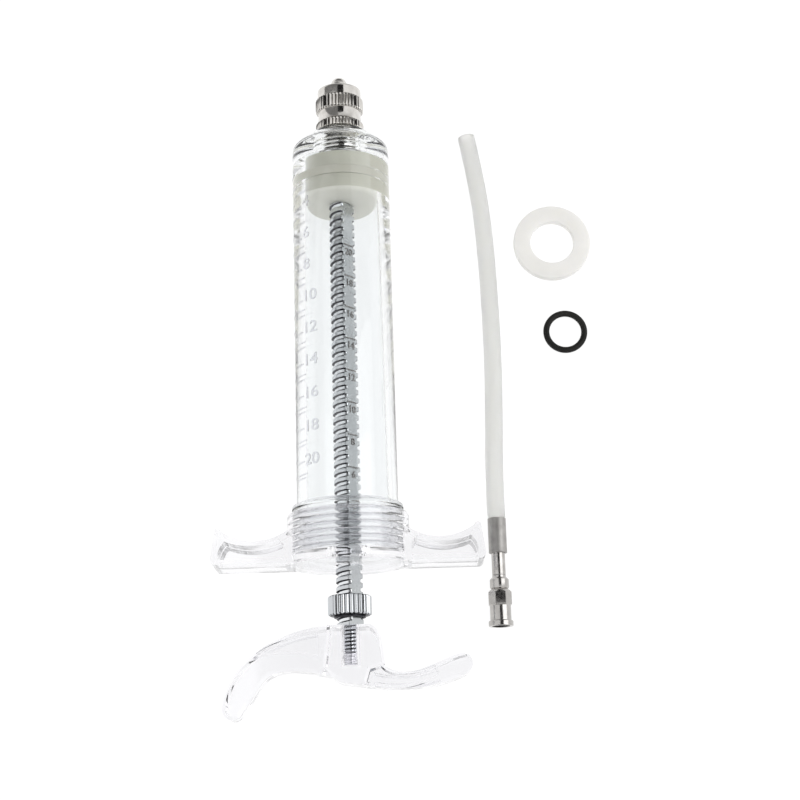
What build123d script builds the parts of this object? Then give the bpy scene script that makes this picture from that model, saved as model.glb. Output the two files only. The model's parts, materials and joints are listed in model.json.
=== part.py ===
from build123d import *
import math
import os

# Dosing syringe for injecting marinade or brine: clear barrel, nickel-plated luer nozzle, threaded
# plunger rod with a dose nut, winged end cap and S-shaped palm handle. A feeding tube with a luer
# socket, a spare piston ring and a spare O-ring lie beside it on the same surface.
# Millimetres. +Y runs along the syringe's axis towards the outlet, +X to the right, +Z up.
# The origin is on the axis, at the middle of the straight luer tip.

# ---- Driving sizes ------------------------------------------------------------------------------
volume_ml = 20
mm_per_ml = 3.766
stroke = volume_ml * mm_per_ml
barrel_r = 11.25
bore_r = 9.2
running_gap = 0.05

# Stations along the axis (Y), measured from the middle of the luer tip
bore_front = -17.5
neck_top = -10.2
neck_r = 7.0
shoulder_top = -11.5
shoulder_end = -15.0
barrel_rear = -109.8
cap_top = -100.9
cap_bottom = -112.3
handle_top = -125.7

# Luer nozzle
tip_r = 2.0
tip_straight = 4.0
tip_nose = 2.3
outlet_r = 0.8
collar_top = 1.2
collar_bottom = -4.6
collar_r = 5.12
collar_bore_r = 3.9
knurl_r = 5.6
knurl_ribs = 42
waist_r = 5.0
waist_bottom = -7.4
flange_bottom = -9.4
shank_r = 3.7
shank_end = -16.0
shank_pitch = 1.0

# O-ring, fitted and spare
o_ring_section_r = 0.725
o_ring_mean_r = 4.475
o_ring_outer_r = o_ring_mean_r + o_ring_section_r

# Piston ring, fitted and spare
seal_outer_r = bore_r - running_gap
seal_inner_r = 5.15
seal_thick = 2.0

# Plunger rod
rod_r = 2.95
rod_root_r = 2.45
rod_pitch = 2.0
rod_flat = 2.1
rod_turn = 45.0
spigot_r = 2.0
tail_r = 2.1
tail_pitch = 0.8
tail_length = 5.6
tail_socket_depth = 8.6

# End cap
cap_r = 13.6
cap_floor = 2.3
wing_half_span = 30.0
wing_half_depth = 6.2
web_half = 0.8
wall = 1.1

# Dose nut
nut_r = 4.85
nut_flutes = 28
nut_top = -119.0
nut_length = 4.3
nut_washer_thick = 0.45
nut_washer_r = 3.5

# Handle
hub_half_depth = 5.0
hub_edge = 0.7
arm_half_depth = 4.0

# Feeding tube, lying on the surface that the end cap rests on
floor_z = -cap_r
hose_r = 2.03
hose_bore_r = 1.25
connector_x = 33.6
ferrule_front = -100.6
ferrule_length = 8.0
ferrule_r = 2.08
grip_r = 2.8
connector_z = floor_z + grip_r + 0.02
hose_route = [
    (connector_x, ferrule_front + 0.1),
    (33.5, -90.0),
    (34.1, -76.5),
    (34.45, -62.5),
    (34.3, -48.5),
    (33.9, -36.0),
    (33.1, -24.5),
    (31.75, -14.8),
    (30.3, -6.4),
]

# Spare rings lying beside the tube
spare_seal_at = (49.8, -33.8)
spare_o_ring_at = (51.9, -55.9)


# ---- Helpers ------------------------------------------------------------------------------------
def turned(points):
    """A solid turned about the syringe's axis from (radius, y) points."""
    return revolve(make_face(Polyline(*points, close=True)), axis=Axis.Y)


def sleeve(outer, inner, low, high):
    """A plain ring or disc between two stations."""
    return turned([(inner, low), (outer, low), (outer, high), (inner, high)])


def chamfered_sleeve(outer, inner, low, high, edge):
    """A ring with both outer edges broken."""
    return turned([
        (inner, low), (outer - edge, low), (outer, low + edge),
        (outer, high - edge), (outer - edge, high), (inner, high),
    ])


def across(y):
    """A plane square to the axis at station y, looking towards the outlet."""
    return Plane(origin=(0, y, 0), x_dir=(1, 0, 0), z_dir=(0, 1, 0))


def fluted(outer, root, teeth, land, low, high):
    """A prism with straight flutes: each tooth has a flat land and V-shaped gaps beside it."""
    step = 2 * math.pi / teeth
    points = []
    for tooth in range(teeth):
        for radius, offset in ((outer, -land / 2), (outer, land / 2), (root, 0.5)):
            angle = (tooth + offset) * step
            points.append((radius * math.cos(angle), radius * math.sin(angle)))
    return extrude(across(low) * make_face(Polyline(*points, close=True)), high - low)


def ribbed_profile(crest, root, pitch, low, high):
    """Outer profile of a thread drawn as rings: (radius, y) points from low to high."""
    points = [(root, low)]
    turns = int((high - low) / pitch)
    for turn in range(turns):
        base = low + turn * pitch
        points += [
            (root, base + 0.25 * pitch), (crest, base + 0.45 * pitch),
            (crest, base + 0.70 * pitch), (root, base + 0.90 * pitch),
        ]
    return points + [(root, high)]


def ring(mean_r, section_r):
    """An O-ring lying square to the axis, at the origin."""
    section = Plane.XY * Pos(mean_r, 0) * Circle(section_r)
    return revolve(section, axis=Axis.Y)


# ---- Barrel group -------------------------------------------------------------------------------
def make_barrel():
    thread_front = cap_top + 1.9
    flange_r = 12.35
    thread = ribbed_profile(12.35, 11.8, 1.5, barrel_rear, thread_front - 1.2)
    outside = [(bore_r, barrel_rear)] + thread + [
        (flange_r, thread_front - 1.0), (flange_r, thread_front), (barrel_r, thread_front + 0.3),
        (barrel_r, shoulder_end),
    ]
    shoulder = []
    for step in range(1, 7):
        angle = step * math.pi / 12
        shoulder.append((
            neck_r + (barrel_r - neck_r) * math.cos(angle),
            shoulder_end + (shoulder_top - shoulder_end) * math.sin(angle),
        ))
    neck = [
        (neck_r, neck_top - 0.3), (neck_r - 0.3, neck_top),
        (o_ring_outer_r + 0.05, neck_top), (o_ring_outer_r + 0.05, neck_top - 1.5),
        (shank_r + 0.08, neck_top - 1.5),
        (shank_r + 0.08, shank_end - 0.1), (1.2, shank_end - 0.1), (1.2, bore_front), (bore_r, bore_front),
    ]
    return turned(outside + shoulder + neck)


def make_nozzle_body():
    shank = ribbed_profile(shank_r, shank_r - 0.4, shank_pitch, shank_end, neck_top - 1.6)
    profile = [(outlet_r, shank_end)] + shank + [
        (shank_r, neck_top - 1.5), (shank_r, flange_bottom - 0.4), (neck_r - 2.2, flange_bottom - 0.4),
        (neck_r - 2.2, flange_bottom), (waist_r, flange_bottom), (waist_r, waist_bottom),
        (waist_r, collar_bottom), (2.6, collar_bottom), (2.6, collar_bottom + 1.3),
        (tip_r + 0.2, collar_bottom + 1.6), (tip_r, -tip_straight / 2), (tip_r, tip_straight / 2),
        (tip_r - 0.1, tip_straight / 2 + 0.9), (tip_r - 0.4, tip_straight / 2 + tip_nose - 0.6),
        (tip_r - 0.75, tip_straight / 2 + tip_nose - 0.15),
        (outlet_r + 0.3, tip_straight / 2 + tip_nose), (outlet_r, tip_straight / 2 + tip_nose),
    ]
    grip = fluted(knurl_r, knurl_r - 0.3, knurl_ribs, 0.45, flange_bottom, waist_bottom)
    return turned(profile) + (grip - sleeve(waist_r - 0.5, 0, flange_bottom - 1, waist_bottom + 1))


def make_luer_lock_collar():
    floor_top = collar_bottom + 1.0
    lock_pitch = 1.25
    body = turned([
        (2.62, collar_bottom), (collar_r, collar_bottom), (collar_r, collar_top - 0.5),
        (collar_r - 0.15, collar_top - 0.15), (collar_r - 0.5, collar_top),
        (collar_bore_r + 0.2, collar_top),
        (collar_bore_r, collar_top - 0.2), (collar_bore_r, floor_top), (2.62, floor_top),
    ])
    knurl = fluted(knurl_r, knurl_r - 0.3, knurl_ribs, 0.45, collar_bottom, collar_bottom + 3.3)
    body += knurl - sleeve(collar_r - 0.4, 0, collar_bottom - 1, collar_top)
    for turn in range(3):
        low = floor_top + 0.8 + turn * lock_pitch
        body += turned([
            (collar_bore_r + 0.1, low), (collar_bore_r - 0.35, low + 0.25),
            (collar_bore_r - 0.35, low + 0.5), (collar_bore_r + 0.1, low + 0.75),
        ])
    return body


def make_nozzle_seal():
    return Pos(0, neck_top - o_ring_section_r, 0) * ring(o_ring_mean_r, o_ring_section_r)


def wing_outline():
    """Right wing seen along Z: a scooped front edge, an end horn and a flat back edge."""
    horn_y = cap_bottom + 8.0
    edge = [
        Line((0, cap_bottom), (wing_half_span - 1.2, cap_bottom)),
        ThreePointArc(
            (wing_half_span - 1.2, cap_bottom),
            (wing_half_span - 0.35, cap_bottom + 0.35),
            (wing_half_span, cap_bottom + 1.2),
        ),
        Line((wing_half_span, cap_bottom + 1.2), (wing_half_span - 0.9, horn_y - 0.5)),
        ThreePointArc(
            (wing_half_span - 0.9, horn_y - 0.5),
            (wing_half_span - 1.6, horn_y),
            (wing_half_span - 2.3, horn_y - 0.6),
        ),
        ThreePointArc(
            (wing_half_span - 2.3, horn_y - 0.6),
            (20.3, cap_bottom + 5.0),
            (13.2, cap_bottom + 7.2),
        ),
        Line((13.2, cap_bottom + 7.2), (0, cap_bottom + 7.2)),
        Line((0, cap_bottom + 7.2), (0, cap_bottom)),
    ]
    return make_face(edge)


def wing_pocket():
    """The recess on one side of the right wing's web."""
    low = cap_bottom + wall
    edge = [
        Line((13.9, low), (28.4, low)),
        ThreePointArc((28.4, low), (28.1, low + 2.2), (26.9, cap_bottom + 5.1)),
        ThreePointArc((26.9, cap_bottom + 5.1), (20.3, cap_bottom + 4.0), (15.0, cap_bottom + 5.3)),
        Line((15.0, cap_bottom + 5.3), (13.9, cap_bottom + 4.2)),
        Line((13.9, cap_bottom + 4.2), (13.9, low)),
    ]
    return make_face(edge)


def make_end_cap():
    shell = turned([
        (0, cap_bottom), (cap_r - 0.4, cap_bottom), (cap_r, cap_bottom + 0.4),
        (cap_r, cap_top - 0.8), (cap_r - 0.25, cap_top - 0.2), (cap_r - 0.8, cap_top), (0, cap_top),
    ])
    wing = extrude(wing_outline(), wing_half_depth, both=True)
    pocket_depth = wing_half_depth - web_half
    recess = extrude(Pos(0, 0, web_half) * wing_pocket(), pocket_depth)
    wing -= recess
    wing -= mirror(recess, about=Plane.XY)
    cap = shell + wing + mirror(wing, about=Plane.YZ)
    cap -= sleeve(12.45, 0, cap_bottom + cap_floor, cap_top + 5)
    cap -= sleeve(rod_r + 0.25, 0, cap_bottom - 5, cap_top)
    return cap


# ---- Piston group -------------------------------------------------------------------------------
piston_front = bore_front - 0.2
piston_rear = bore_front - 9.8
piston_r = bore_r - 0.2
seal_front = piston_front - 3.6
back_front = seal_front - seal_thick - 0.1
screw_seat = piston_front - 2.2


def make_piston_head():
    return turned([
        (spigot_r + running_gap, back_front), (seal_inner_r - 0.03, back_front),
        (seal_inner_r - 0.03, seal_front), (piston_r, seal_front),
        (piston_r, piston_front - 0.5), (piston_r - 0.5, piston_front),
        (3.8, piston_front), (3.8, screw_seat), (spigot_r + running_gap, screw_seat),
    ])


def make_piston_seal():
    low = seal_front - seal_thick - 0.05
    return chamfered_sleeve(seal_outer_r, seal_inner_r, low, low + seal_thick, 0.15)


def make_piston_back():
    return turned([
        (spigot_r + running_gap, piston_rear), (piston_r - 0.6, piston_rear), (piston_r, piston_rear + 0.6),
        (piston_r, back_front - 0.02), (spigot_r + running_gap, back_front - 0.02),
    ])


# ---- Plunger group ------------------------------------------------------------------------------
rod_shoulder = piston_rear - 0.1
rod_end = handle_top + 0.02


def make_plunger_rod():
    thread = ribbed_profile(rod_r, rod_root_r, rod_pitch, rod_end, rod_shoulder)
    body = turned([(0, rod_end)] + thread + [(0, rod_shoulder)])
    length = rod_shoulder - rod_end
    flats = Pos(0, (rod_end + rod_shoulder) / 2, 0) * Box(4 * rod_r, length + 2, 2 * rod_flat)
    body = body & (Rot(0, rod_turn, 0) * flats)
    tail_end = handle_top - tail_length
    tail_thread = ribbed_profile(tail_r, tail_r - 0.3, tail_pitch, tail_end, rod_end)
    tail = turned([(0, tail_end)] + tail_thread + [(0, rod_end)])
    return body + tail + sleeve(spigot_r, 0, rod_shoulder - 1, screw_seat + 0.55)


def make_piston_washer():
    return sleeve(3.5, spigot_r + 0.02, screw_seat + 0.1, screw_seat + 0.5)


def make_piston_screw():
    low = screw_seat + 0.56
    head = turned([(0, low), (3.1, low), (3.1, low + 0.6), (2.4, low + 1.2), (0, low + 1.2)])
    slot = Pos(0, low + 1.2, 0) * Box(7.0, 1.0, 0.8)
    return head - slot


def handle_outline():
    """S-shaped palm handle seen along Z: the left arm sweeps down, the right arm dips and rises."""
    left_root = (-3.0, handle_top - 0.2)
    left_tip_outer = (-27.7, handle_top - 17.3)
    left_tip_inner = (-23.3, handle_top - 18.1)
    right_tip_lower = (24.6, handle_top - 11.2)
    right_tip_upper = (24.0, handle_top - 6.6)
    right_root = (6.0, handle_top - 6.5)
    edge = [
        Spline(left_root, (-9.8, handle_top - 0.7), (-16.3, handle_top - 3.0), (-21.8, handle_top - 6.5),
               (-25.8, handle_top - 11.3), left_tip_outer),
        ThreePointArc(left_tip_outer, (-25.9, handle_top - 19.6), left_tip_inner),
        Spline(left_tip_inner, (-20.7, handle_top - 14.4), (-17.2, handle_top - 10.4),
               (-12.5, handle_top - 9.6), (-4.8, handle_top - 10.8), (3.5, handle_top - 13.1),
               (10.4, handle_top - 13.9), (18.6, handle_top - 13.2), right_tip_lower),
        ThreePointArc(right_tip_lower, (26.2, handle_top - 8.5), right_tip_upper),
        Spline(right_tip_upper, (18.1, handle_top - 8.8), (12.6, handle_top - 10.3), (8.6, handle_top - 9.7),
               right_root),
        Line(right_root, (6.0, handle_top - 0.6)),
        Line((6.0, handle_top - 0.6), left_root),
    ]
    return make_face(edge)


def left_pocket():
    """Recess in the web of the left arm, between its two rims."""
    start = (-6.9, handle_top - 1.6)
    tip = (-20.0, handle_top - 6.1)
    end = (-6.9, handle_top - 6.6)
    return make_face([
        Spline(start, (-13.6, handle_top - 3.0), tip),
        Spline(tip, (-14.1, handle_top - 5.3), end),
        Line(end, start),
    ])


def right_pocket():
    """Recess along the middle of the right arm, running to a point at the hub."""
    start = (5.0, handle_top - 10.4)
    tip = (18.6, handle_top - 9.9)
    edge = [
        Spline(start, (8.6, handle_top - 11.1), (13.0, handle_top - 11.2), tip),
        Line(tip, (19.0, handle_top - 11.0)),
        Spline((19.0, handle_top - 11.0), (13.4, handle_top - 12.7), (5.4, handle_top - 12.4)),
        Line((5.4, handle_top - 12.4), start),
    ]
    return make_face(edge)


hub_shoulder = [(4.4, 0), (5.4, -0.7), (6.2, -1.7), (6.8, -3.2), (7.1, -5.7)]


def below_top(points):
    """A face from (x, y) points measured from the handle's top."""
    return make_face(Polyline(*[(x, handle_top + y) for x, y in points], close=True))


def make_hub():
    """Flat-faced boss around the rod's tail, with a sloping shoulder over the right arm."""
    outline = [(-4.9, 0)] + hub_shoulder + [
        (7.4, -8.8), (4.2, -9.7), (3.2, -12.9), (-1.7, -12.4), (-3.6, -11.4), (-6.0, -9.0), (-5.4, -4.4),
    ]
    hub = extrude(below_top(outline), hub_half_depth, both=True)
    rims = hub.faces().sort_by(Axis.Z)[-1].edges() + hub.faces().sort_by(Axis.Z)[0].edges()
    return chamfer(rims, hub_edge)


def make_handle():
    arms = extrude(handle_outline(), arm_half_depth, both=True)
    arms = chamfer(arms.edges().filter_by(GeomType.BSPLINE), 0.7)
    arms -= extrude(below_top(hub_shoulder + [(12, -5.7), (12, 2), (4.4, 2)]), 2 * arm_half_depth, both=True)
    handle = arms + make_hub()
    for pocket in (left_pocket(), right_pocket()):
        recess = extrude(Pos(0, 0, web_half) * pocket, 2 * arm_half_depth)
        handle -= recess
        handle -= mirror(recess, about=Plane.XY)
    return handle - sleeve(tail_r + 0.03, 0, handle_top - tail_socket_depth, handle_top + 5)


# ---- Dose nut -----------------------------------------------------------------------------------
def make_dose_nut():
    low = nut_top - nut_length
    body = fluted(nut_r, nut_r - 0.45, nut_flutes, 0.4, low, nut_top)
    trim = chamfered_sleeve(nut_r, 0, low, nut_top, 0.3)
    return (body & trim) - sleeve(rod_r + running_gap, 0, low - 1, nut_top + 1)


def make_nut_washer():
    high = nut_top - nut_length - 0.05
    return sleeve(nut_washer_r, rod_r + running_gap, high - nut_washer_thick, high)


# ---- Feeding tube -------------------------------------------------------------------------------
stem_length = 5.0
hub_start = ferrule_front - ferrule_length - stem_length


def on_connector(solid):
    """Moves a solid turned about the syringe's axis to the connector's own axis."""
    return Pos(connector_x, 0, connector_z) * solid


def hose_path():
    """Straight runs joined by the largest arcs that the runs allow, at the hose's resting height."""
    points = [Vector(x, y, floor_z + hose_r + 0.02) for x, y in hose_route]
    radii = []
    for before, here, after in zip(points, points[1:], points[2:]):
        turn = math.radians((here - before).get_angle(after - here))
        radii.append(0.45 * min((here - before).length, (after - here).length) / math.tan(turn / 2))
    print("hose arc radii:", [round(radius) for radius in radii])
    return FilletPolyline(*points, radius=radii)


def make_hose():
    path = hose_path()
    section = Plane(origin=path @ 0, z_dir=path % 0) * (Circle(hose_r) - Circle(hose_bore_r))
    hose = sweep(section, path=path)
    area = math.pi * (hose_r ** 2 - hose_bore_r ** 2)
    print(f"hose length {path.length:.2f} volume {hose.volume:.2f}")
    print(f"hose section x length {area * path.length:.2f}")
    return hose


def make_hose_ferrule():
    body = chamfered_sleeve(ferrule_r, 1.57, ferrule_front - ferrule_length, ferrule_front, 0.1)
    return on_connector(body)


def make_connector_stem():
    return on_connector(turned([
        (0.9, hub_start), (1.55, hub_start), (1.55, ferrule_front - 0.3), (0.9, ferrule_front - 0.3),
    ]))


def make_luer_socket():
    socket_r = 2.05
    socket_depth = 7.6
    relief_r = 2.15
    mouth = hub_start - 11.6
    floor = mouth + socket_depth + 0.3
    profile = [
        (1.56, hub_start - 0.1), (1.56, hub_start - 0.6), (1.7, hub_start - 0.6), (2.17, hub_start - 1.1),
        (2.17, hub_start - 2.8), (1.9, hub_start - 3.2), (2.3, hub_start - 3.5), (grip_r, hub_start - 3.9),
        (grip_r, hub_start - 6.8), (2.4, hub_start - 7.0), (2.4, mouth + 1.3), (grip_r, mouth + 1.1),
        (grip_r, mouth + 0.1), (grip_r - 0.1, mouth), (socket_r, mouth), (socket_r, mouth + socket_depth),
        (relief_r, mouth + socket_depth), (relief_r, floor), (0.8, floor), (0.8, hub_start - 0.1),
    ]
    return on_connector(turned(profile))


# ---- Spare rings --------------------------------------------------------------------------------
def lying(solid, place, height):
    """Lays a ring turned about Y flat on the surface."""
    return Pos(place[0], place[1], floor_z + height) * Rot(90, 0, 0) * solid


def make_spare_seal_ring():
    flat = chamfered_sleeve(seal_outer_r, seal_inner_r, -seal_thick / 2, seal_thick / 2, 0.15)
    return lying(flat, spare_seal_at, seal_thick / 2)


def make_spare_o_ring():
    return lying(ring(o_ring_mean_r, o_ring_section_r), spare_o_ring_at, o_ring_section_r)


parts = {
    "barrel": make_barrel,
    "nozzle_body": make_nozzle_body,
    "luer_lock_collar": make_luer_lock_collar,
    "nozzle_seal": make_nozzle_seal,
    "end_cap": make_end_cap,
    "piston_head": make_piston_head,
    "piston_seal": make_piston_seal,
    "piston_back": make_piston_back,
    "plunger_rod": make_plunger_rod,
    "piston_washer": make_piston_washer,
    "piston_screw": make_piston_screw,
    "handle": make_handle,
    "dose_nut": make_dose_nut,
    "nut_washer": make_nut_washer,
    "hose": make_hose,
    "hose_ferrule": make_hose_ferrule,
    "connector_stem": make_connector_stem,
    "luer_socket": make_luer_socket,
    "spare_seal_ring": make_spare_seal_ring,
    "spare_o_ring": make_spare_o_ring,
}

os.makedirs("parts", exist_ok=True)
for name, make in parts.items():
    export_step(make(), f"parts/{name}.step")
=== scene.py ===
"""Looks for the dosing syringe: clear barrel, plated nozzle and rod, cream piston, silicone tube."""
import json
import math

import bmesh
import bpy
from mathutils import Matrix, Vector


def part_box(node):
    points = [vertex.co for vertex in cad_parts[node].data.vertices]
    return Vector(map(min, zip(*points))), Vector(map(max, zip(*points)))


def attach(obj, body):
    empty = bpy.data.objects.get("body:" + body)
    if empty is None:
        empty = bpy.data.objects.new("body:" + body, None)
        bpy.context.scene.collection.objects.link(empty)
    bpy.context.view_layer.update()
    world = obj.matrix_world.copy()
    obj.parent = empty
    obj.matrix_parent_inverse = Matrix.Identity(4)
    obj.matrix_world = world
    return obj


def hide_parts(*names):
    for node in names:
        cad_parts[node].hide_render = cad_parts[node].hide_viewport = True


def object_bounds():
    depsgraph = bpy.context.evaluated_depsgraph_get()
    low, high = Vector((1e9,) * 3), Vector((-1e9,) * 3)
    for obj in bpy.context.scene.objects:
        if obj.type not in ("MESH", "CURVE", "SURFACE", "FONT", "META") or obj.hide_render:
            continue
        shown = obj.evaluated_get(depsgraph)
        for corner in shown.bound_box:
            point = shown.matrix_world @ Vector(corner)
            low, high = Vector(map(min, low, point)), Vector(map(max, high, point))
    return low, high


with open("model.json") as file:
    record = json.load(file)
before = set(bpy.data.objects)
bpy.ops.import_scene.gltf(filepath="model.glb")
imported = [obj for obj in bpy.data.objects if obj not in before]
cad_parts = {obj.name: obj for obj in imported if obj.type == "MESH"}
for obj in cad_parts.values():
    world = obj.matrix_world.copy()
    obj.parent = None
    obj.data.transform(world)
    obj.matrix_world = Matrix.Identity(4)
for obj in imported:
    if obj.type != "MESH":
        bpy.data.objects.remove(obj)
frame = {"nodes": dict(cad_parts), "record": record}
cad_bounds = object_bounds()
nodes = frame["nodes"]
MM = 0.001
FLOOR_Z = cad_bounds[0].z


# ---- Camera, floor and light ---------------------------------------------------------------------
def add_camera():
    """A long lens above the handle end, looking down at the syringe and along it."""
    yaw = math.radians(1.643)
    tilt = math.radians(14.8)
    distance = 0.384
    aim = Vector((0.0123, -0.07485, 0.0))
    right = Vector((math.cos(yaw), -math.sin(yaw), 0))
    ahead = Vector((math.sin(yaw), math.cos(yaw), 0))
    back = Vector((0, 0, math.cos(tilt))) - ahead * math.sin(tilt)
    up = ahead * math.cos(tilt) + Vector((0, 0, math.sin(tilt)))
    data = bpy.data.cameras.new("camera")
    data.sensor_width = 36
    data.lens = 76.5
    data.clip_start = 0.01
    data.clip_end = 20
    camera = bpy.data.objects.new("camera", data)
    bpy.context.scene.collection.objects.link(camera)
    place = aim + back * distance
    camera.matrix_world = Matrix((
        (right.x, up.x, back.x, place.x),
        (right.y, up.y, back.y, place.y),
        (right.z, up.z, back.z, place.z),
        (0, 0, 0, 1),
    ))
    bpy.context.scene.camera = camera


def new_object(name, mesh):
    made = bpy.data.objects.new(name, mesh)
    bpy.context.scene.collection.objects.link(made)
    return made


def plane(name, corners):
    """A flat panel through four corners."""
    mesh = bpy.data.meshes.new(name)
    mesh.from_pydata(corners, [], [(0, 1, 2, 3)])
    return new_object(name, mesh)


def area_light(name, place, aim, size, power, size_y=None):
    data = bpy.data.lights.new(name, "AREA")
    data.energy = power
    data.size = size
    if size_y:
        data.shape = "RECTANGLE"
        data.size_y = size_y
    lamp = bpy.data.objects.new(name, data)
    lamp.location = place
    lamp.rotation_mode = "QUATERNION"
    lamp.rotation_quaternion = (Vector(aim) - Vector(place)).to_track_quat("-Z", "Y")
    bpy.context.scene.collection.objects.link(lamp)


# ---- Materials -----------------------------------------------------------------------------------
def new_material(name):
    material = bpy.data.materials.new(name)
    material.use_nodes = True
    tree = material.node_tree
    shader = tree.nodes["Principled BSDF"]
    return material, tree, shader


def noise(tree, scale, detail=3, stretch=(1, 1, 1)):
    """Noise in the object's own coordinates, per metre, optionally stretched."""
    place = tree.nodes.new("ShaderNodeTexCoord")
    mapping = tree.nodes.new("ShaderNodeMapping")
    mapping.inputs["Scale"].default_value = stretch
    texture = tree.nodes.new("ShaderNodeTexNoise")
    texture.inputs["Scale"].default_value = scale
    texture.inputs["Detail"].default_value = detail
    tree.links.new(place.outputs["Object"], mapping.inputs["Vector"])
    tree.links.new(mapping.outputs["Vector"], texture.inputs["Vector"])
    return texture


def ramp(tree, source, low, high):
    """A smooth change between two colours or two greys."""
    made = tree.nodes.new("ShaderNodeValToRGB")
    made.color_ramp.elements[0].position = 0.3
    made.color_ramp.elements[1].position = 0.7
    made.color_ramp.elements[0].color = (*low, 1)
    made.color_ramp.elements[1].color = (*high, 1)
    tree.links.new(source.outputs["Fac"], made.inputs["Fac"])
    return made


def grey(value):
    return (value, value, value)


def bump(tree, source, shader, strength, distance):
    made = tree.nodes.new("ShaderNodeBump")
    made.inputs["Strength"].default_value = strength
    made.inputs["Distance"].default_value = distance
    tree.links.new(source.outputs["Fac"], made.inputs["Height"])
    tree.links.new(made.outputs["Normal"], shader.inputs["Normal"])


def let_light_through(tree, shader, tint):
    """Shadow rays pass the clear plastic, as its soft caustics would fill the shadow in."""
    output = tree.nodes["Material Output"]
    path = tree.nodes.new("ShaderNodeLightPath")
    clear = tree.nodes.new("ShaderNodeBsdfTransparent")
    clear.inputs["Color"].default_value = (*tint, 1)
    mix = tree.nodes.new("ShaderNodeMixShader")
    tree.links.new(path.outputs["Is Shadow Ray"], mix.inputs[0])
    tree.links.new(shader.outputs[0], mix.inputs[1])
    tree.links.new(clear.outputs[0], mix.inputs[2])
    tree.links.new(mix.outputs[0], output.inputs["Surface"])


def clear_plastic(name, low, high):
    material, tree, shader = new_material(name)
    shader.inputs["Transmission Weight"].default_value = 1.0
    shader.inputs["IOR"].default_value = 1.49
    flow = noise(tree, 60, 2, (1, 0.3, 1))
    tint = ramp(tree, flow, low, high)
    tree.links.new(tint.outputs["Color"], shader.inputs["Base Color"])
    haze = ramp(tree, noise(tree, 900, 4), grey(0.015), grey(0.05))
    tree.links.new(haze.outputs["Color"], shader.inputs["Roughness"])
    let_light_through(tree, shader, (0.985, 0.985, 0.988))
    return material


def threaded_plastic(name, low, high, groove, radius, start, stop, pitch):
    """Clear plastic with painted shade in a thread's grooves, drawn with a bump on the bore of a given
    radius about the axis, between two stations, all in mm."""
    material = clear_plastic(name, low, high)
    tree = material.node_tree
    shader = tree.nodes["Principled BSDF"]
    split = tree.nodes.new("ShaderNodeSeparateXYZ")
    tree.links.new(tree.nodes.new("ShaderNodeTexCoord").outputs["Object"], split.inputs["Vector"])
    x, y, z = (split.outputs[letter] for letter in "XYZ")

    def work(operation, first, second=None):
        made = tree.nodes.new("ShaderNodeMath")
        made.operation = operation
        for socket, value in zip(made.inputs, (first, second)):
            if isinstance(value, float):
                socket.default_value = value
            elif value is not None:
                tree.links.new(value, socket)
        return made.outputs[0]

    out = work("SQRT", work("ADD", work("MULTIPLY", x, x), work("MULTIPLY", z, z)))
    near = work("LESS_THAN", work("ABSOLUTE", work("SUBTRACT", out, radius * MM)), 0.3 * MM)
    inside = work("MULTIPLY", work("GREATER_THAN", y, start * MM), work("LESS_THAN", y, stop * MM))
    turns = work("DIVIDE", work("ARCTAN2", x, z), 2 * math.pi)
    along = work("DIVIDE", work("SUBTRACT", y, start * MM), pitch * MM)
    phase = work("FRACT", work("SUBTRACT", along, turns))
    off = work("DIVIDE", work("ABSOLUTE", work("SUBTRACT", phase, 0.5)), 0.2)
    ring = work("MAXIMUM", work("SUBTRACT", 1.0, off), 0.0)
    share = work("MULTIPLY", work("MULTIPLY", near, inside), ring)
    # Painted shade: the groove colour is mixed into the tint along the thread's grooves.
    mix = tree.nodes.new("ShaderNodeMix")
    mix.data_type = "RGBA"
    tint = shader.inputs["Base Color"].links[0].from_socket
    tree.links.new(share, mix.inputs[0])
    tree.links.new(tint, mix.inputs[6])
    mix.inputs[7].default_value = (*groove, 1)
    tree.links.new(mix.outputs[2], shader.inputs["Base Color"])
    dent = tree.nodes.new("ShaderNodeBump")
    dent.inputs["Strength"].default_value = 0.6
    dent.inputs["Distance"].default_value = 0.15 * MM
    tree.links.new(share, dent.inputs["Height"])
    tree.links.new(dent.outputs["Normal"], shader.inputs["Normal"])
    return material


def raised_plastic():
    """The mould's raised figures: the same plastic, a little frosted and with painted shade in a darker
    tint, so that they show.
    """
    material, tree, shader = new_material("raised_plastic")
    shader.inputs["Transmission Weight"].default_value = 1.0
    shader.inputs["IOR"].default_value = 1.49
    # Painted shade: a darker tint than the barrel's, standing in for the dark lines that the figures' edges
    # make.
    tint = ramp(tree, noise(tree, 700, 3), (0.78, 0.78, 0.82), (0.86, 0.86, 0.89))
    tree.links.new(tint.outputs["Color"], shader.inputs["Base Color"])
    haze = ramp(tree, noise(tree, 2500, 4), grey(0.03), grey(0.07))
    tree.links.new(haze.outputs["Color"], shader.inputs["Roughness"])
    let_light_through(tree, shader, (0.97, 0.97, 0.975))
    return material


def plated(name, low, high, rough_low, rough_high, scale=500):
    material, tree, shader = new_material(name)
    shader.inputs["Metallic"].default_value = 1.0
    colour = ramp(tree, noise(tree, scale, 4), low, high)
    tree.links.new(colour.outputs["Color"], shader.inputs["Base Color"])
    wear = ramp(tree, noise(tree, scale * 3, 5), grey(rough_low), grey(rough_high))
    tree.links.new(wear.outputs["Color"], shader.inputs["Roughness"])
    return material


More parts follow.
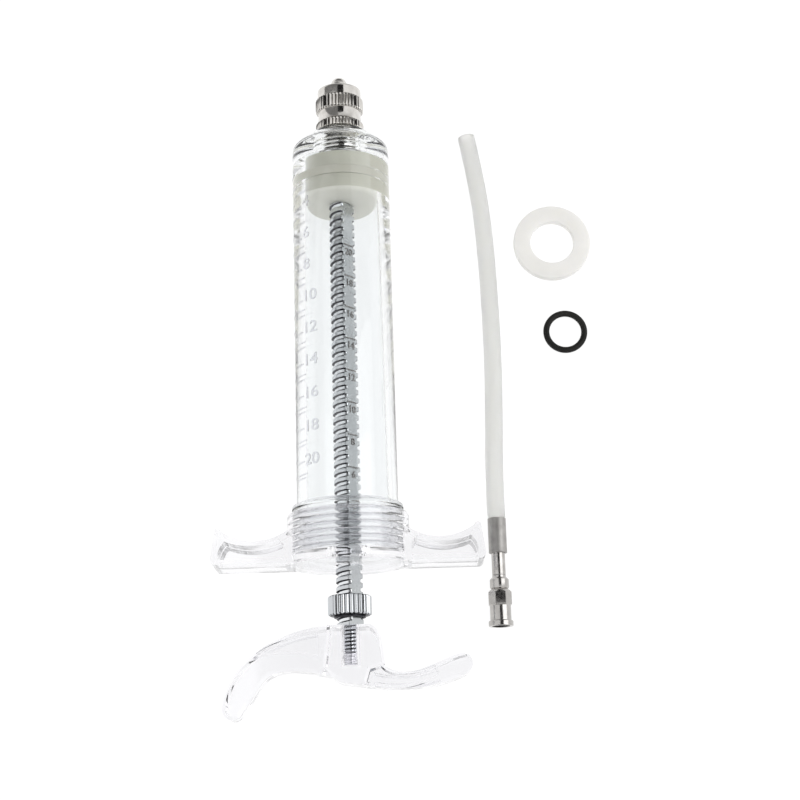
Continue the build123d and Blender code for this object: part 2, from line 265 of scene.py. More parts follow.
def moulded(name, low, high, rough, scatter=0.0, clear=0.0, shine=0.5):
    material, tree, shader = new_material(name)
    shader.inputs["Specular IOR Level"].default_value = shine
    colour = ramp(tree, noise(tree, 180, 4), low, high)
    tree.links.new(colour.outputs["Color"], shader.inputs["Base Color"])
    wear = ramp(tree, noise(tree, 1500, 4), grey(rough), grey(rough + 0.12))
    tree.links.new(wear.outputs["Color"], shader.inputs["Roughness"])
    shader.inputs["Subsurface Weight"].default_value = scatter
    shader.inputs["Subsurface Radius"].default_value = (0.002, 0.002, 0.0018)
    shader.inputs["Subsurface Scale"].default_value = 1.0
    shader.inputs["Transmission Weight"].default_value = clear
    bump(tree, noise(tree, 2500, 3), shader, 0.15, 0.00005)
    return material


def paint(node, material):
    data = nodes[node].data
    data.materials.clear()
    data.materials.append(material)


def add_floor():
    """A pale table that shows only faint contact shadows."""
    height = FLOOR_Z - 0.00005
    floor = plane("floor", [(-3, -3, height), (3, -3, height), (3, 3, height), (-3, 3, height)])
    material, tree, shader = new_material("floor")
    shader.inputs["Base Color"].default_value = (0.15, 0.15, 0.15, 1)
    shader.inputs["Roughness"].default_value = 1.0
    shader.inputs["Specular IOR Level"].default_value = 0.0
    shader.inputs["Emission Color"].default_value = (1, 1, 1, 1)
    shader.inputs["Emission Strength"].default_value = 0.93
    floor.data.materials.append(material)


def card(name, corners, brightness):
    """A flat panel over the table, which only the bright metal and the plastic mirror."""
    panel = plane(name, [(x, y, 0.5) for x, y in corners])
    material, tree, shader = new_material(name)
    shader.inputs["Base Color"].default_value = (0.01, 0.01, 0.01, 1)
    shader.inputs["Roughness"].default_value = 1.0
    shader.inputs["Specular IOR Level"].default_value = 0.0
    shader.inputs["Emission Color"].default_value = (1, 1, 1, 1)
    shader.inputs["Emission Strength"].default_value = brightness
    panel.data.materials.append(material)
    panel.visible_shadow = False
    panel.visible_diffuse = False


def add_world():
    """White all round, darker low down before and behind the object."""
    world = bpy.data.worlds.new("studio")
    world.use_nodes = True
    tree = world.node_tree
    place = tree.nodes.new("ShaderNodeTexCoord")
    split = tree.nodes.new("ShaderNodeSeparateXYZ")
    size = tree.nodes.new("ShaderNodeMath")
    size.operation = "ABSOLUTE"
    fall = tree.nodes.new("ShaderNodeMapRange")
    fall.inputs["From Min"].default_value = 0.62
    fall.inputs["From Max"].default_value = 0.93
    fall.inputs["To Min"].default_value = 1.0
    fall.inputs["To Max"].default_value = 0.15
    tree.links.new(place.outputs["Generated"], split.inputs["Vector"])
    tree.links.new(split.outputs["Y"], size.inputs[0])
    tree.links.new(size.outputs[0], fall.inputs["Value"])
    tree.links.new(fall.outputs["Result"], tree.nodes["Background"].inputs["Strength"])
    tree.nodes["Background"].inputs["Color"].default_value = (1, 1, 1, 1)
    bpy.context.scene.world = world


def add_studio():
    add_world()
    add_floor()
    area_light("key", (0.5, 0.0, 0.5), (0, -0.06, 0), 0.35, 0.9, 0.6)
    card("card_above", [(-0.06, -0.2), (0.24, -0.2), (0.24, 0.45), (-0.06, 0.45)], 0.0)
    card("card_left", [(-0.06, 0.205), (-0.06, 0.6), (-3.8, 2.2), (-3.8, 1.14)], 0.2)
    scene = bpy.context.scene
    scene.view_settings.view_transform = "Standard"
    scene.cycles.max_bounces = 24
    scene.cycles.glossy_bounces = 24
    scene.cycles.transmission_bounces = 24
    scene.cycles.transparent_max_bounces = 24


# ---- Mesh making ---------------------------------------------------------------------------------
def finish_mesh(name, mesh, sharp_angle=35):
    """Welds, turns faces outwards and shades smooth except across sharp corners."""
    work = bmesh.new()
    work.from_mesh(mesh)
    bmesh.ops.remove_doubles(work, verts=work.verts, dist=1e-7)
    bmesh.ops.dissolve_degenerate(work, dist=1e-7, edges=work.edges)
    bmesh.ops.recalc_face_normals(work, faces=work.faces)
    limit = math.radians(sharp_angle)
    for edge in work.edges:
        edge.smooth = len(edge.link_faces) != 2 or edge.calc_face_angle(0) < limit
    for face in work.faces:
        face.smooth = True
    work.to_mesh(mesh)
    work.free()
    return new_object(name, mesh)


def lathe(name, rows, segments=96, axis=(0, 0), sharp_angle=35):
    """A closed skin turned about a line along Y. A row is (radius, y) in mm, or a function of the
    angle that gives them. The angle runs from +Z towards +X."""
    points = []
    columns = segments + 1
    for row in rows:
        for step in range(columns):
            angle = 2 * math.pi * step / segments
            radius, y = row(angle) if callable(row) else row
            x = axis[0] + radius * math.sin(angle)
            z = axis[1] + radius * math.cos(angle)
            points.append((x * MM, y * MM, z * MM))
    faces = []
    for row in range(len(rows)):
        after = (row + 1) % len(rows)
        for step in range(segments):
            here, there = row * columns + step, after * columns + step
            faces.append((here, here + 1, there + 1, there))
    mesh = bpy.data.meshes.new(name)
    mesh.from_pydata(points, [], faces)
    return finish_mesh(name, mesh, sharp_angle)


def rounded(points, radius, steps=3):
    """Rounds the corners of a closed (radius, y) outline in mm."""
    made = []
    count = len(points)
    for index, (r, y) in enumerate(points):
        here = Vector((r, y))
        before = Vector(points[index - 1]) - here
        after = Vector(points[(index + 1) % count]) - here
        cut = min(radius, 0.45 * before.length, 0.45 * after.length)
        if before.angle(after) > math.radians(165):
            made.append((r, y))
            continue
        first = here + before.normalized() * cut
        last = here + after.normalized() * cut
        for step in range(steps + 1):
            t = step / steps
            point = first * (1 - t) ** 2 + here * 2 * t * (1 - t) + last * t ** 2
            made.append((point.x, point.y))
    return made


def screw_rows(low, high, crest, root, pitch, groove=0.45, per_pitch=12, limit=None):
    """Rows of a right-hand thread between two stations, fading out at both ends."""
    rows = []
    count = int((high - low) / pitch * per_pitch)
    for step in range(count + 1):
        y = low + (high - low) * step / count

        def row(angle, y=y):
            phase = (y / pitch - angle / (2 * math.pi)) % 1
            depth = max(0.0, 1 - abs(2 * phase - 1) / groove)
            depth = depth * depth * (3 - 2 * depth)
            fade = min(1.0, (y - low) / (0.4 * pitch), (high - y) / (0.4 * pitch))
            radius = crest - (crest - root) * depth * max(0.0, fade)
            return (min(radius, limit(angle)) if limit else radius), y

        rows.append(row)
    return rows


def cut_thread(low, high, crest, root, pitch, profile, limit=None):
    """Rows that follow a right-hand thread's own line, so that its flanks and edges are crisp.
    The profile's points are (share of the pitch, share of the depth)."""
    rows = []
    for turn in range(math.ceil((high - low) / pitch) + 2):
        for share, depth in profile:

            def row(angle, start=low + (turn - 1 + share) * pitch):
                y = min(high, max(low, start + pitch * angle / (2 * math.pi)))
                phase = ((y - low) / pitch - angle / (2 * math.pi)) % 1
                fade = min(1.0, (y - low) / (0.4 * pitch), (high - y) / (0.4 * pitch))
                radius = crest - (crest - root) * depth_at(profile, phase) * fade
                return (min(radius, limit(angle)) if limit else radius), y

            rows.append(row)
    return rows


def depth_at(profile, phase):
    """The profile's depth at a share of the pitch."""
    ends = profile + [(1.0, profile[0][1])]
    for (low, first), (high, last) in zip(ends, ends[1:]):
        if phase <= high:
            return first + (last - first) * (phase - low) / (high - low)
    return profile[0][1]


def ribbed(radius, depth, ribs, y, sharpness=1.0):
    """One row of a knurled or fluted band."""
    def row(angle):
        wave = abs(2 * ((angle * ribs / (2 * math.pi)) % 1) - 1)
        return radius - depth * wave ** sharpness, y
    return row


def ribbed_band(radius, depth, ribs, low, high, inner, sharpness=1.0, edge=0.25):
    """Rows of a knurled band with bevelled ends, from low to high."""
    return [
        (inner, low), (radius - depth - 0.05, low),
        ribbed(radius - 0.05, depth * 0.8, ribs, low + edge, sharpness),
        ribbed(radius, depth, ribs, low + 2 * edge, sharpness),
        ribbed(radius, depth, ribs, high - 2 * edge, sharpness),
        ribbed(radius - 0.05, depth * 0.8, ribs, high - edge, sharpness),
        (radius - depth - 0.05, high), (inner, high),
    ]


def place(piece, body, material, node=None, slot=None, others=()):
    """Gives a piece its materials and its body, and hides the CAD node it stands for. Each of the
    others is a material and a test for the middles, in mm, of the faces that take it."""
    piece.data.materials.clear()
    piece.data.materials.append(material)
    for index, (other, test) in enumerate(others):
        piece.data.materials.append(other)
        for face in piece.data.polygons:
            if face.material_index == 0 and test(face.center / MM):
                face.material_index = index + 1
    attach(piece, body)
    if node:
        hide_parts(node)
        slot = slot or slot_of[node]
    return piece


add_camera()
add_studio()

# Stations along the axis and radii of the syringe, in mm, as the CAD part has them
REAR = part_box("barrel")[0].y / MM
NECK_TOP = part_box("barrel")[1].y / MM
BARREL_R = 11.25
BORE_R = 9.2
FLANGE_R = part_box("barrel")[1].x / MM
FLANGE_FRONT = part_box("end_cap")[1].y / MM + 1.9
BORE_FRONT = NECK_TOP - 7.3
NECK_R = 7.0
ML = 3.766
BARREL_THREAD_R = 11.75
BARREL_THREAD_PITCH = 1.5
CAP_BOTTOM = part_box("end_cap")[0].y / MM
CAP_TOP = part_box("end_cap")[1].y / MM

clear = clear_plastic("clear_plastic", (0.91, 0.908, 0.928), (0.933, 0.931, 0.948))
# The cap's bore takes painted shade in its thread's grooves.
cap_clear = threaded_plastic(
    "cap_plastic", (0.93, 0.928, 0.945), (0.95, 0.948, 0.962), (0.36, 0.36, 0.39),
    radius=FLANGE_R + 0.1, start=CAP_BOTTOM + 2.6, stop=CAP_TOP - 0.7, pitch=BARREL_THREAD_PITCH,
)
clear_tube = clear_plastic("clear_tube", (0.922, 0.935, 0.94), (0.937, 0.95, 0.955))
shaded = clear_plastic("shaded_plastic", (0.45, 0.45, 0.48), (0.55, 0.55, 0.58))
lightly_shaded = clear_plastic("lightly_shaded_plastic", (0.82, 0.82, 0.84), (0.86, 0.86, 0.88))
raised = raised_plastic()
nickel = plated("nickel_plate", (0.60, 0.58, 0.55), (0.74, 0.72, 0.69), 0.08, 0.2)
# Painted shade: near-black nickel for the knurls' deepest lines and the thread roots inside the neck.
nickel_painted_shade = plated("nickel_painted_shade", (0.05, 0.045, 0.04), (0.16, 0.15, 0.14), 0.3, 0.5)
dull_nickel = plated("dull_nickel", (0.42, 0.405, 0.39), (0.52, 0.505, 0.49), 0.12, 0.25)
# Darker nickel for the rod's figures, and the painted dark reflection on the connector grip's middle.
dark_nickel = plated("dark_nickel", (0.22, 0.21, 0.205), (0.32, 0.31, 0.30), 0.2, 0.35)
steel = plated("steel_rod", (0.58, 0.60, 0.62), (0.66, 0.68, 0.70), 0.14, 0.22, 120)
# Painted light: a lighter copy of the steel for the rod's thread roots.
steel_root_painted_light = plated("steel_root_painted_light", (0.80, 0.82, 0.84), (0.88, 0.90, 0.92), 0.2, 0.3, 120)
# Painted shade: a darker copy of the steel for the rod's flats.
steel_flat_painted_shade = plated("steel_flat_painted_shade", (0.48, 0.50, 0.51), (0.56, 0.58, 0.59), 0.2, 0.3, 120)
# Painted shade: near-black steel for the rod's thread flanks and tail grooves, the nut's flutes and the
# washer under the nut.
steel_painted_shade = plated("steel_painted_shade", (0.02, 0.02, 0.025), (0.09, 0.09, 0.10), 0.35, 0.5, 300)
brushed = plated("brushed_ferrule", (0.34, 0.33, 0.32), (0.44, 0.43, 0.415), 0.42, 0.55)
cream = moulded("cream_plastic", (0.62, 0.615, 0.52), (0.68, 0.675, 0.58), 0.35, 0.15)
# Painted light: a lighter copy of the cream plastic for the piston's rear face.
cream_painted_light = moulded("light_cream_plastic", (0.84, 0.83, 0.74), (0.90, 0.89, 0.80), 0.35, 0.15)
# Painted shade: a darker copy of the white silicone for the seal fitted inside the barrel.
white_painted_shade = moulded("fitted_silicone_painted_shade", (0.63, 0.625, 0.54), (0.69, 0.685, 0.60), 0.35, 0.3)
white = moulded("white_silicone", (0.80, 0.79, 0.765), (0.85, 0.84, 0.82), 0.35, 0.4)
milky = moulded("milky_silicone", (0.98, 0.98, 0.955), (0.995, 0.995, 0.98), 0.3, 0.6, 0.8)
black = moulded("black_rubber", (0.006, 0.006, 0.005), (0.015, 0.015, 0.013), 0.5, shine=0.25)

finishes = {
    "clear_plastic": clear, "nickel_plate": nickel, "steel_rod": steel, "brushed_ferrule": brushed,
    "cream_plastic": cream, "white_silicone": white, "milky_silicone": milky, "black_rubber": black,
}
for entry in frame["record"]["subparts"]:
    paint(entry["node"], finishes[entry["material_slot"]])

paint("end_cap", cap_clear)
slot_of = {entry["node"]: entry["material_slot"] for entry in frame["record"]["subparts"]}

# Points of a thread's profile: (share of the pitch, share of the depth)
FINE_THREAD = [
    (0.0, 0.0), (0.12, 0.02), (0.22, 0.18), (0.32, 0.5), (0.41, 0.85), (0.5, 1.0),
    (0.59, 0.85), (0.68, 0.5), (0.78, 0.18), (0.88, 0.02),
]


# ---- Barrel --------------------------------------------------------------------------------------
def barrel():
    rows = [(BORE_R, REAR), (11.6, REAR), (11.8, REAR + 0.2)]
    start, stop = REAR + 0.3, FLANGE_FRONT - 1.3
    rows += cut_thread(start, stop, FLANGE_R, BARREL_THREAD_R, BARREL_THREAD_PITCH, FINE_THREAD)
    rows += [(BARREL_THREAD_R, FLANGE_FRONT - 1.2), (BARREL_THREAD_R, FLANGE_FRONT - 1.0)]
    rows += rounded([(FLANGE_R, FLANGE_FRONT - 0.9), (FLANGE_R, FLANGE_FRONT)], 0.2)
    rows += [(BARREL_R + 0.25, FLANGE_FRONT + 0.1), (BARREL_R, FLANGE_FRONT + 0.35)]
    shoulder_end = NECK_TOP - 4.8
    shoulder_rise = 3.5
    for step in range(0, 13):
        angle = step * math.pi / 24
        rows.append((
            NECK_R + (BARREL_R - NECK_R) * math.cos(angle), shoulder_end + shoulder_rise * math.sin(angle),
        ))
    rows += [(NECK_R, NECK_TOP - 0.3), (NECK_R - 0.1, NECK_TOP - 0.1), (NECK_R - 0.3, NECK_TOP)]
    rows += [(5.25, NECK_TOP), (5.25, NECK_TOP - 1.5), (3.95, NECK_TOP - 1.5)]
    rows += list(reversed(screw_rows(NECK_TOP - 5.6, NECK_TOP - 1.7, 3.78, 4.1, 1.0, 0.6, 10)))
    rows += [(3.78, NECK_TOP - 5.9), (1.2, NECK_TOP - 5.9), (1.2, BORE_FRONT)]
    rows += [(BORE_R - 0.3, BORE_FRONT), (BORE_R - 0.08, BORE_FRONT - 0.08), (BORE_R, BORE_FRONT - 0.3)]

    def in_thread(point):
        turns = math.atan2(point.x, point.z) / (2 * math.pi)
        phase = ((point.y - start) / BARREL_THREAD_PITCH - turns) % 1
        return start < point.y < stop and point.xz.length > BARREL_THREAD_R - 0.05 and 0.41 < phase < 0.59

    others = [(lightly_shaded, in_thread)]
    place(lathe("clear_barrel", rows, 160), "syringe_body", clear_tube, "barrel", others=others)


def wrapped(flat, turn, y, radius):
    """Bends a flat mesh (x across, y along, in mm) round the barrel at an angle."""
    work = bmesh.new()
    work.from_mesh(flat)
    bmesh.ops.remove_doubles(work, verts=work.verts, dist=1e-5)
    for vertex in work.verts:
        angle = turn + vertex.co.x / radius
        lift = radius + vertex.co.z
        vertex.co = Vector((lift * math.sin(angle), y + vertex.co.y, lift * math.cos(angle))) * MM
    work.to_mesh(flat)
    work.free()
    return flat


def figure(text, size, depth, widen=1.0):
    """A number as a thin solid mesh, centred, in mm."""
    curve = bpy.data.curves.new("figure", "FONT")
    curve.body = text
    curve.size = size
    curve.align_x = "CENTER"
    curve.align_y = "CENTER"
    curve.extrude = depth / 2
    curve.bevel_depth = 0.03
    curve.resolution_u = 3
    holder = new_object("figure", curve)
    mesh = bpy.data.meshes.new_from_object(holder.evaluated_get(bpy.context.evaluated_depsgraph_get()))
    bpy.data.objects.remove(holder)
    mesh.transform(Matrix.Diagonal((widen, 1, 1, 1)))
    return mesh


def joined(name, meshes):
    """One object from several meshes."""
    work = bmesh.new()
    for mesh in meshes:
        work.from_mesh(mesh)
    made = bpy.data.meshes.new(name)
    work.to_mesh(made)
    work.free()
    return finish_mesh(name, made, 40)


def ridge(y, start, end, width, height):
    """A raised line round the barrel between two angles."""
    steps = max(4, int(abs(end - start) / math.radians(3)))
    section = [(-width / 2, -0.05), (-width / 3, height), (width / 3, height), (width / 2, -0.05)]
    points = []
    for step in range(steps + 1):
        angle = start + (end - start) * step / steps
        for along, lift in section:
            radius = BARREL_R + lift
            points.append(Vector((radius * math.sin(angle), y + along, radius * math.cos(angle))) * MM)
    faces = [(3, 2, 1, 0), tuple(steps * 4 + k for k in range(4))]
    for step in range(steps):
        for k in range(4):
            low, high = step * 4, step * 4 + 4
            faces.append((low + k, low + (k + 1) % 4, high + (k + 1) % 4, high + k))
    mesh = bpy.data.meshes.new("ridge")
    mesh.from_pydata(points, [], faces)
    return mesh


def barrel_scale():
    """Raised lines every millilitre and a number every second one, as the mould leaves them."""
    lines = []
    figures = []
    for ml in range(1, 21):
        y = BORE_FRONT - ml * ML
        if ml % 2 == 0:
            lines.append(ridge(y, math.radians(-100), math.radians(-49), 0.34, 0.07))
            if ml > 2:
                turn = math.radians(-45.0 if ml < 10 else -41.3)
                figures.append(wrapped(figure(str(ml), 3.7, 0.11, 1.2), turn, y + 3.0, BARREL_R))
        else:
            lines.append(ridge(y, math.radians(-100), math.radians(-72), 0.34, 0.07))
    # The scale's lines and figures carry the raised plastic's painted shade.
    place(joined("scale_lines", lines), "syringe_body", raised, slot="clear_plastic")
    place(joined("scale_numbers", figures), "syringe_body", raised, slot="clear_plastic")


# ---- Nozzle --------------------------------------------------------------------------------------
KNURL_R = 5.6
KNURL_DEPTH = 0.36
KNURL_RIBS = 42
TIP_R = 2.0
TIP_STRAIGHT = 4.0
TIP_NOSE = 2.3


def in_dark(point):
    """A test for painted shade in the knurls' deepest lines and the thread roots in the barrel's neck."""
    radius = math.hypot(point.x, point.z)
    root = KNURL_R - KNURL_DEPTH
    return root - 0.04 < radius < root + 0.06 or point.y < NECK_TOP - 1.6 and radius < 3.6


def nozzle():
    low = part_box("nozzle_body")[0].y / MM
    flange = NECK_TOP + 0.8
    waist = flange + 2.0
    collar = waist + 2.8
    rows = [(0.8, low), (3.2, low)]
    rows += screw_rows(low + 0.1, NECK_TOP - 1.7, 3.7, 3.25, 1.0, 0.8, 12)
    rows += [(3.7, NECK_TOP - 1.5), (3.7, flange - 0.4), (4.8, flange - 0.4), (4.8, flange)]
    rows += ribbed_band(KNURL_R, KNURL_DEPTH, KNURL_RIBS, flange, waist, 5.0, 0.8, 0.22)[1:-1]
    rows += [(5.12, waist + 0.05), (5.0, waist + 0.3), (5.0, collar - 0.02)]
    rows += [(2.6, collar - 0.02), (2.6, collar + 1.3), (2.2, collar + 1.6)]
    rows += [(TIP_R, -TIP_STRAIGHT / 2), (TIP_R, TIP_STRAIGHT / 2)]
    for step in range(1, 9):
        angle = step * math.pi / 18
        reach = TIP_STRAIGHT / 2 + TIP_NOSE * math.sin(angle)
        rows.append((0.85 + (TIP_R - 0.85) * math.cos(angle), reach))
    nose_end = TIP_STRAIGHT / 2 + TIP_NOSE
    rows += [(0.9, nose_end), (0.8, nose_end - 0.1)]
    made = lathe("luer_nozzle", rows, 336, sharp_angle=40)
    # Painted shade in the knurl's deepest lines and the thread roots inside the neck.
    place(made, "syringe_body", nickel, "nozzle_body", others=[(nickel_painted_shade, in_dark)])
    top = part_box("luer_lock_collar")[1].y / MM
    rows = [(2.62, collar), (4.9, collar)]
    rows += ribbed_band(KNURL_R, KNURL_DEPTH, KNURL_RIBS, collar, collar + 3.3, 5.0, 0.8, 0.25)[1:-1]
    rows += [(5.12, collar + 3.35), (5.12, top - 0.6)]
    for step in range(1, 6):
        angle = step * math.pi / 10
        rows.append((4.62 + 0.5 * math.cos(angle), top - 0.5 + 0.5 * math.sin(angle)))
    rows += [(4.1, top), (3.92, top - 0.2)]
    rows += list(reversed(screw_rows(collar + 1.1, top - 0.5, 3.6, 3.9, 2.5, 0.6, 20)))
    rows += [(3.9, collar + 1.0), (2.62, collar + 1.0)]
    made = lathe("luer_lock", rows, 336, sharp_angle=40)
    # Painted shade in the lock collar's knurl roots.
    place(made, "syringe_body", nickel, "luer_lock_collar", others=[(nickel_painted_shade, in_dark)])
    ring_low, ring_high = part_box("nozzle_seal")
    middle = (ring_low.y + ring_high.y) / 2 / MM
    place(lathe("nozzle_o_ring", o_ring_rows(middle), 96), "syringe_body", black, "nozzle_seal")


def o_ring_rows(y, mean=4.475, section=0.725):
    """Rows round an O-ring's section."""
    rows = []
    for step in range(24):
        angle = 2 * math.pi * step / 24
        rows.append((mean + section * math.cos(angle), y + section * math.sin(angle)))
    return rows


# ---- Piston --------------------------------------------------------------------------------------
DISC_R = 9.0
HUB_BORE_R = 2.05
TOUCH_R = BORE_R + 0.01


def pressed(points):
    """Rows of a piston part whose outside lies against the bore on the right, as if leaning."""
    rows = []
    for radius, y in points:
        def row(angle, radius=radius, y=y):
            side = max(0.0, math.sin(angle - math.radians(-20))) ** 0.5
            return (radius + 0.212 * side if radius > DISC_R - 0.1 else radius), y
        rows.append(row)
    return rows


def piston():
    front = BORE_FRONT - 0.2
    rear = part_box("piston_back")[0].y / MM
    seal_low, seal_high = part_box("piston_seal")
    low, high = seal_low.y / MM, seal_high.y / MM
    head = [(HUB_BORE_R, low - 0.05), (5.12, low - 0.05), (5.12, high + 0.02), (DISC_R, high + 0.02)]
    head += [(DISC_R, front - 0.3), (DISC_R - 0.3, front), (3.8, front), (3.8, front - 2.2)]
    head += [(HUB_BORE_R, front - 2.2)]
    made = lathe("piston_front", pressed(rounded(head, 0.1)), 128)
    place(made, "piston", cream, "piston_head")
    seal = [(5.15, low), (TOUCH_R, low), (TOUCH_R, high), (5.15, high)]
    # Painted shade: the fitted seal takes the darker copy of the white silicone.
    place(lathe("piston_ring", rounded(seal, 0.1), 128), "piston", white_painted_shade, "piston_seal")
    back = [(HUB_BORE_R, rear), (8.3, rear), (8.8, rear + 0.2), (DISC_R, rear + 0.6)]
    back += [(DISC_R, low - 0.07), (HUB_BORE_R, low - 0.07)]
    made = lathe("piston_rear", pressed(rounded(back, 0.1)), 128)
    # Painted light on the piston's rear face, which takes the lighter cream copy.
    place(made, "piston", cream, "piston_back", others=[(cream_painted_light, lambda point: point.y < rear + 0.8)])


# ---- Plunger rod ---------------------------------------------------------------------------------
ROD_R = 2.95
ROD_FLAT = 2.1
ROD_TURN = math.radians(45)
ROD_PITCH = 2.0
ROD_THREAD = [
    (0.0, 0.0), (0.14, 0.0), (0.28, 0.0), (0.42, 0.0), (0.46, 0.12), (0.54, 0.88),
    (0.57, 1.0), (0.67, 1.0), (0.77, 1.0), (0.87, 1.0), (0.9, 0.88), (0.97, 0.12),
]


def flats(angle):
    """How far out the rod's two flats let its surface come at an angle."""
    across = abs(math.cos(angle - ROD_TURN))
    return ROD_FLAT / across if across > 0.2 else 100.0


def plunger_rod():
    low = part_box("plunger_rod")[0].y / MM
    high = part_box("plunger_rod")[1].y / MM
    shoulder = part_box("piston_back")[0].y / MM - 0.1
    hub_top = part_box("handle")[1].y / MM + 0.02
    rows = [(0, low), (1.9, low)]
    rows += screw_rows(low + 0.05, hub_top - 0.1, 2.1, 1.8, 0.8, 0.7, 10)
    rows += [(2.0, hub_top), (ROD_R - 0.5, hub_top)]
    start = hub_top + 0.05
    rows += cut_thread(start, shoulder - 0.1, ROD_R, ROD_R - 0.46, ROD_PITCH, ROD_THREAD, flats)
    rows += [(2.0, shoulder), (2.0, high), (0, high)]
    made = lathe("threaded_rod", rows, 96, sharp_angle=40)

    def on_flat(point):
        angle = math.atan2(point.x, point.z)
        return start < point.y < shoulder - 0.2 and math.hypot(point.x, point.z) > flats(angle) - 0.03

    def thread_phase(point):
        angle = math.atan2(point.x, point.z) % (2 * math.pi)
        return ((point.y - start) / ROD_PITCH - angle / (2 * math.pi)) % 1

    def in_root(point):
        return start < point.y < shoulder - 0.2 and 0.57 < thread_phase(point) < 0.87

    def in_shade(point):
        in_tail = point.y < hub_top - 0.1 and 0.5 < math.hypot(point.x, point.z) < 1.97
        on_flank = 0.42 < thread_phase(point) < 0.57 or thread_phase(point) > 0.87
        return in_tail or start < point.y < shoulder - 0.2 and on_flank

    # Painted shade on the flats, the flanks and the tail's grooves, painted light in the thread roots.
    others = [(steel_flat_painted_shade, on_flat), (steel_root_painted_light, in_root), (steel_painted_shade, in_shade)]
    place(made, "plunger", steel, "plunger_rod", others=others)


def rod_scale():
    """Figures and lines standing on both flats, a number every second millilitre."""
    meshes = []
    for side in (0, math.pi):
        turn = Matrix.Rotation(ROD_TURN + side, 4, "Y")
        for ml in range(2, 21, 2):
            y = CAP_BOTTOM - 0.8 + ml * ML
            line = bmesh.new()
            bmesh.ops.create_cube(line, size=1, matrix=Matrix.Diagonal((2.9, 0.28, 0.16, 1)))
            mesh = bpy.data.meshes.new("line")
            line.to_mesh(mesh)
            line.free()
            mesh.transform(Matrix.Translation((0, y, ROD_FLAT + 0.04)))
            meshes.append(mesh)
            number = figure(str(ml), 2.3, 0.12)
            number.transform(Matrix.Translation((0, y - 1.7, ROD_FLAT + 0.04)))
            meshes.append(number)
            for made in meshes[-2:]:
                made.transform(turn)
                made.transform(Matrix.Scale(MM, 4))
    place(joined("rod_figures", meshes), "plunger", dark_nickel, slot="steel_rod")


NUT_R = 4.82
NUT_FLUTE_DEPTH = 0.38
NUT_FLUTES = 28


def dose_nut():
    low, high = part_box("dose_nut")
    low, high = low.y / MM, high.y / MM
    rows = ribbed_band(NUT_R, NUT_FLUTE_DEPTH, NUT_FLUTES, low, high, 3.0, 1.6, 0.2)
    rows += list(reversed(screw_rows(low + 0.1, high - 0.1, 3.0, 3.25, 2.0, 0.5, 10)))
    made = lathe("knurled_nut", rows, 336, sharp_angle=40)

    def in_flute(point):
        return 3.4 < math.hypot(point.x, point.z) < NUT_R - 0.29

    # Painted shade in the nut's flutes.
    place(made, "nut", steel, "dose_nut", others=[(steel_painted_shade, in_flute)])
    low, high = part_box("nut_washer")
    ring = [(3.0, low.y / MM), (3.5, low.y / MM), (3.5, high.y / MM), (3.0, high.y / MM)]
    # Painted shade: the washer under the nut is given the near-black shade material.
    place(lathe("thin_washer", rounded(ring, 0.08), 96), "nut_carrier", steel_painted_shade, "nut_washer")


# ---- Feeding tube --------------------------------------------------------------------------------
HOSE_R = 0.00203
HOSE_BORE_R = 0.00125
HOSE_Z = FLOOR_Z + HOSE_R + 0.00002
HOSE_ROUTE = [
    (0.0336, -0.1005), (0.0335, -0.0900), (0.0341, -0.0765), (0.03445, -0.0625), (0.0343, -0.0485),
    (0.0339, -0.0360), (0.0331, -0.0245), (0.03175, -0.0148), (0.0303, -0.0064),
]


def connector():
    """Ferrule, stem and luer socket, turned about the connector's own axis."""
    low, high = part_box("hose_ferrule")
    axis = ((low.x + high.x) / 2 / MM, (low.z + high.z) / 2 / MM)
    ferrule = [(1.57, low.y / MM), (2.08, low.y / MM), (2.08, high.y / MM), (1.57, high.y / MM)]
    sleeve = lathe("crimped_ferrule", rounded(ferrule, 0.12), 96, axis)
    place(sleeve, "feeding_tube", brushed, "hose_ferrule")
    low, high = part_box("connector_stem")
    tube = [(0.9, low.y / MM), (1.55, low.y / MM), (1.55, high.y / MM), (0.9, high.y / MM)]
    stem = lathe("polished_stem", rounded(tube, 0.06), 96, axis)
    place(stem, "feeding_tube", dull_nickel, "connector_stem")
    low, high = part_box("luer_socket")
    mouth, start = low.y / MM, high.y / MM + 0.1

    def eight_sided(radius, y):
        def row(angle):
            step = math.pi / 4
            return radius * math.cos(step / 2) / math.cos((angle + step / 2) % step - step / 2), y
        return row

    rows = [(1.56, start - 0.1), (1.56, start - 0.6), (1.7, start - 0.62), (1.95, start - 0.85)]
    rows += [(2.17, start - 1.1), (2.17, start - 2.8), (2.1, start - 3.0), (1.9, start - 3.2)]
    rows += [(2.3, start - 3.5), (2.55, start - 3.75)]
    rows += [eight_sided(2.78, start - 3.95), eight_sided(2.8, start - 4.1)]
    rows += [eight_sided(2.8, start - 6.65), eight_sided(2.75, start - 6.8), (2.42, start - 6.95)]
    rows += [(2.4, start - 7.1), (2.4, mouth + 1.3), (2.7, mouth + 1.2), (2.8, mouth + 1.05)]
    rows += [(2.8, mouth + 0.1)]
    rows += [(2.7, mouth), (2.12, mouth), (2.05, mouth + 0.1), (2.05, mouth + 7.6), (2.15, mouth + 7.6)]
    rows += [(2.15, mouth + 7.9), (0.8, mouth + 7.9), (0.8, start - 0.1)]
    socket = lathe("luer_connector", rows, 192, axis, 25)
    # Painted dark reflection on the grip's middle faces, which take the darker nickel.
    grip_painted_reflection = (dark_nickel, lambda point: start - 6.7 < point.y < start - 3.9 and abs(point.x - axis[0]) < 1.2)
    place(socket, "feeding_tube", dull_nickel, "luer_socket", others=[grip_painted_reflection])
    return [sleeve, stem, socket]


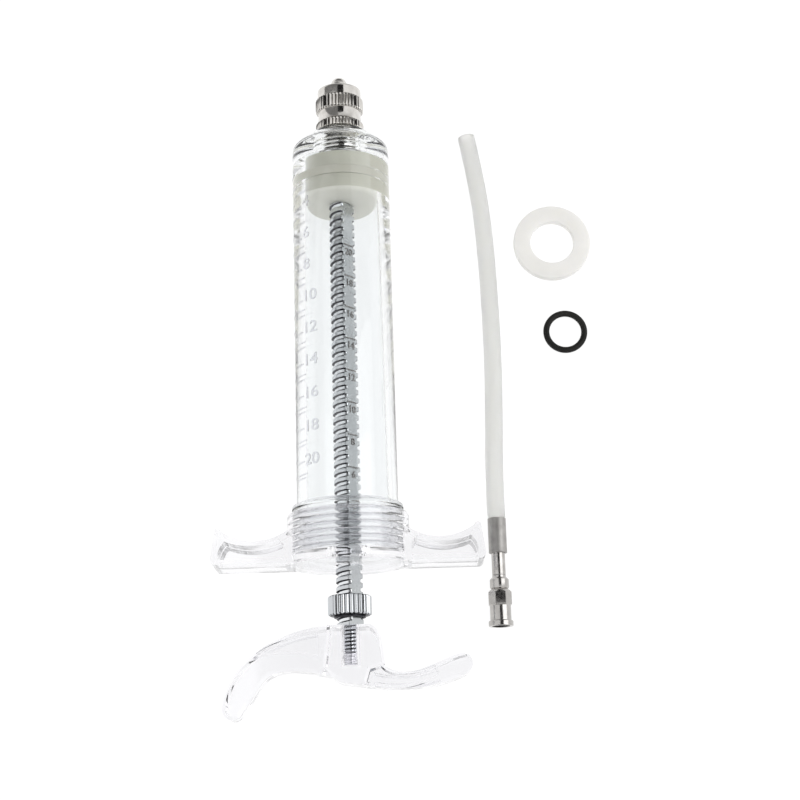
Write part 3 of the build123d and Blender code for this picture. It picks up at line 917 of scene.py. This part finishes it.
def route_points():
    """Points along the tube's smooth line."""
    curve = bpy.data.curves.new("route", "CURVE")
    curve.dimensions = "3D"
    curve.resolution_u = 16
    spline = curve.splines.new("NURBS")
    spline.points.add(len(HOSE_ROUTE) - 1)
    for point, (x, y) in zip(spline.points, HOSE_ROUTE):
        point.co = (x, y, HOSE_Z, 1)
    spline.order_u = 3
    spline.use_endpoint_u = True
    holder = new_object("route", curve)
    mesh = bpy.data.meshes.new_from_object(holder)
    points = [vertex.co.copy() for vertex in mesh.vertices]
    bpy.data.objects.remove(holder)
    bpy.data.meshes.remove(mesh)
    return points


def hose(fittings):
    """A thick-walled tube along the route, open at its cut end."""
    points = route_points()
    around = 32
    verts = []
    for index, point in enumerate(points):
        before = points[max(0, index - 1)]
        after = points[min(len(points) - 1, index + 1)]
        ahead = (after - before).normalized()
        side = ahead.cross(Vector((0, 0, 1))).normalized()
        for radius in (HOSE_R, HOSE_BORE_R):
            for step in range(around):
                angle = 2 * math.pi * step / around
                rise = Vector((0, 0, radius * math.sin(angle)))
                verts.append(point + side * radius * math.cos(angle) + rise)
    faces = []
    ring = 2 * around
    last = (len(points) - 1) * ring
    for step in range(around):
        beside = (step + 1) % around
        for index in range(len(points) - 1):
            base = index * ring
            faces.append((base + step, base + beside, base + ring + beside, base + ring + step))
            inner = base + around
            faces.append((inner + beside, inner + step, inner + ring + step, inner + ring + beside))
        faces.append((beside, step, around + step, around + beside))
        faces.append((last + step, last + beside, last + around + beside, last + around + step))
    mesh = bpy.data.meshes.new("silicone_hose")
    mesh.from_pydata(verts, [], faces)
    tube = finish_mesh("silicone_hose", mesh, 50)
    place(tube, "feeding_tube", milky, "hose")


# ---- Spare rings ---------------------------------------------------------------------------------
def lying_ring(name, node, section, body, material):
    """A ring flat on the table, from its section's (radius, height) rows."""
    low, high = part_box(node)
    made = lathe(name, section, 128)
    centre = (low + high) / 2
    made.data.transform(Matrix.Translation(centre) @ Matrix.Rotation(math.radians(90), 4, "X"))
    place(made, body, material, node)


def spare_rings():
    section = rounded([(5.15, -1), (9.15, -1), (9.15, 1), (5.15, 1)], 0.3)
    lying_ring("spare_piston_ring", "spare_seal_ring", section, "spare_seal", white)
    lying_ring("spare_nozzle_ring", "spare_o_ring", o_ring_rows(0), "spare_ring", black)


# ---- Cap and handle ------------------------------------------------------------------------------
SOCKET_R = 2.05


def socket_thread():
    """The thread in the handle's socket. The cap and the handle themselves keep their CAD shapes."""
    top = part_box("handle")[1].y / MM
    low, high = top - 8.55, top - 5.75
    rows = [(SOCKET_R + 0.07, low), (SOCKET_R + 0.07, high), (SOCKET_R, high)]
    rows += list(reversed(cut_thread(low, high, 1.8, SOCKET_R, 0.7, FINE_THREAD)))
    made = lathe("socket_thread", rows, 96)
    others = [(shaded, lambda point: 1.92 < math.hypot(point.x, point.z) < SOCKET_R + 0.03)]
    place(made, "plunger", clear, slot="clear_plastic", others=others)


hose(connector())
barrel()
barrel_scale()
nozzle()
piston()
plunger_rod()
rod_scale()
dose_nut()
socket_thread()
spare_rings()
